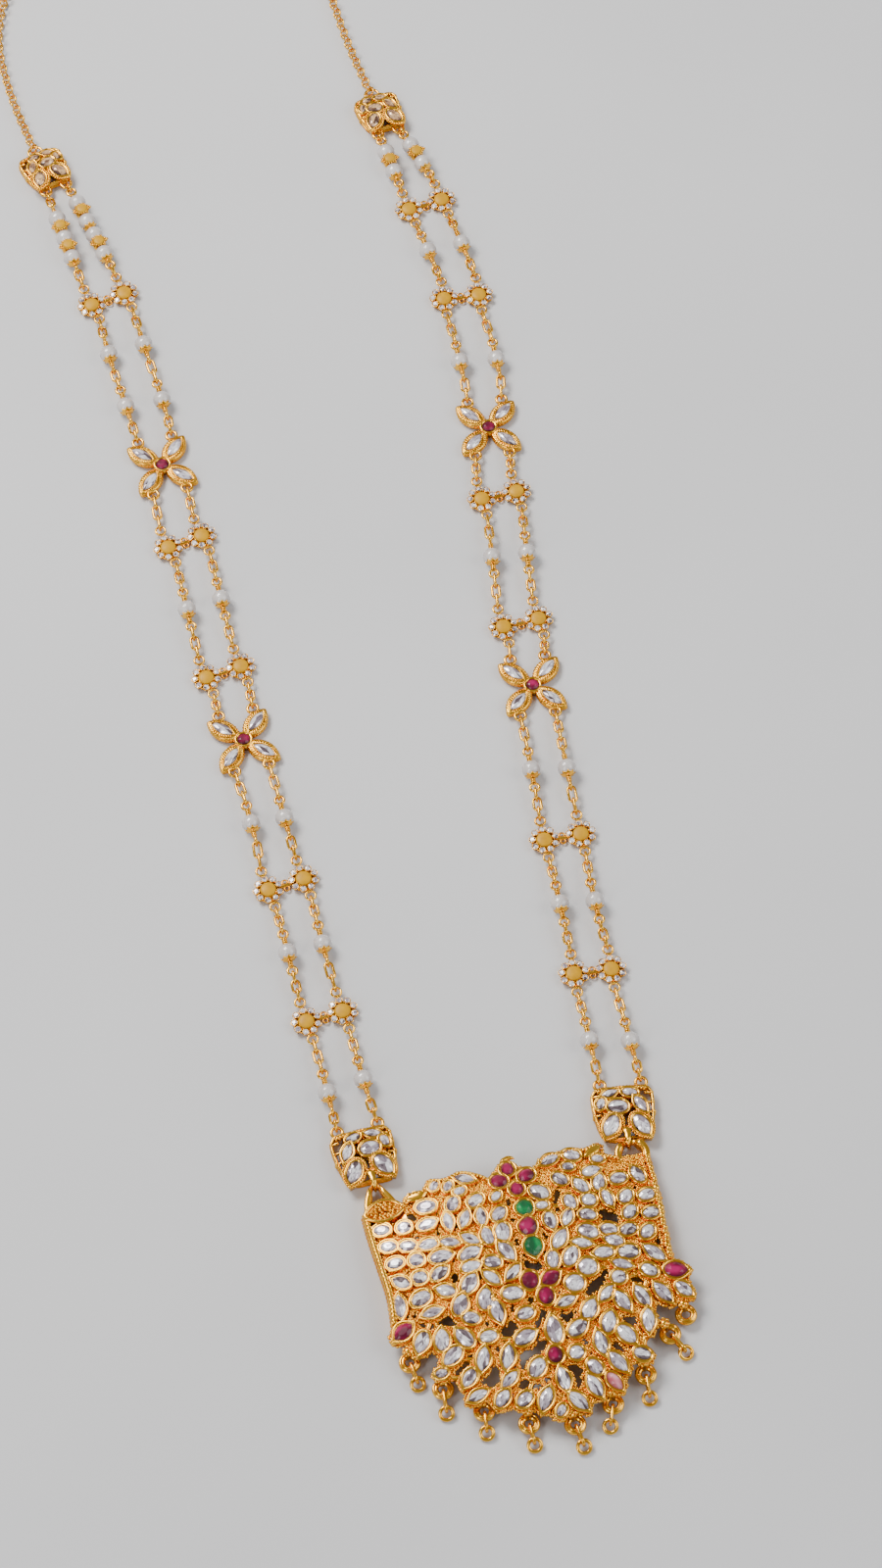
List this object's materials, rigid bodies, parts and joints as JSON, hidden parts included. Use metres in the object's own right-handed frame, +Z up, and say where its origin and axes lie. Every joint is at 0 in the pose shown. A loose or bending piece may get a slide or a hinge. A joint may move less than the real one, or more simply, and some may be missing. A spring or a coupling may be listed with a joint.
{
  "type": "long beaded pendant necklace",
  "caption": "Long two-strand gold necklace of pearls, enamel daisies and open links with a large pierced pendant set with white, red and green stones.",
  "frame": {"origin": "middle of the whole necklace's box seen from above, on the surface it lies on", "axes": "+Z up from the surface it lies on, +Y from the pendant towards the clasp, +X to the right as seen from above"},
  "size_m": [0.0978, 0.4118, 0.0075],
  "materials": {
    "gold": "polished gold plate",
    "white_stone": "polished, foil-backed",
    "ruby": "polished, foil-backed",
    "emerald": "polished, foil-backed",
    "pink_stone": "polished, foil-backed",
    "pearl": "pearly lustre",
    "enamel": "glossy enamel"
  },
  "bodies": {
    "root": {"back_chain_left": "gold", "back_chain_right": "gold", "butterfly_left_1": "gold", "butterfly_left_2": "gold", "butterfly_right_1": "gold", "butterfly_right_2": "gold", "clasp": "gold", "daisy_pair_left_1": "gold", "daisy_pair_left_2": "gold", "daisy_pair_left_3": "gold", "daisy_pair_left_4": "gold", "daisy_pair_left_5": "gold", "daisy_pair_right_1": "gold", "daisy_pair_right_2": "gold", "daisy_pair_right_3": "gold", "daisy_pair_right_4": "gold", "daisy_pair_right_5": "gold", "daisy_pair_right_6": "gold", "drop_links": "gold", "drop_ring_1": "gold", "drop_ring_2": "gold", "drop_ring_3": "gold", "drop_ring_4": "gold", "drop_ring_5": "gold", "drop_ring_6": "gold", "drop_ring_7": "gold", "drop_ring_8": "gold", "emerald_lower": "emerald", "emerald_upper": "emerald", "links_left_inner": "gold", "links_left_outer": "gold", "links_right_inner": "gold", "links_right_outer": "gold", "low_connector_left": "gold", "low_connector_right": "gold", "pearls_left_inner": "pearl", "pearls_left_outer": "pearl", "pearls_right_inner": "pearl", "pearls_right_outer": "pearl", "pendant_plate": "gold", "pendant_stones_left": "white_stone", "pendant_stones_right": "white_stone", "pink_stone": "pink_stone", "ruby_flower_left": "ruby", "ruby_flower_low": "ruby", "ruby_flower_right": "ruby", "ruby_flower_top": "ruby", "ruby_lower": "ruby", "ruby_middle": "ruby", "ruby_side_left": "ruby", "ruby_side_right": "ruby", "ruby_trio_left": "ruby", "ruby_trio_low": "ruby", "ruby_trio_right": "ruby", "spacers": "enamel", "top_connector_left": "gold", "top_connector_right": "gold"}
  },
  "joints": []
}
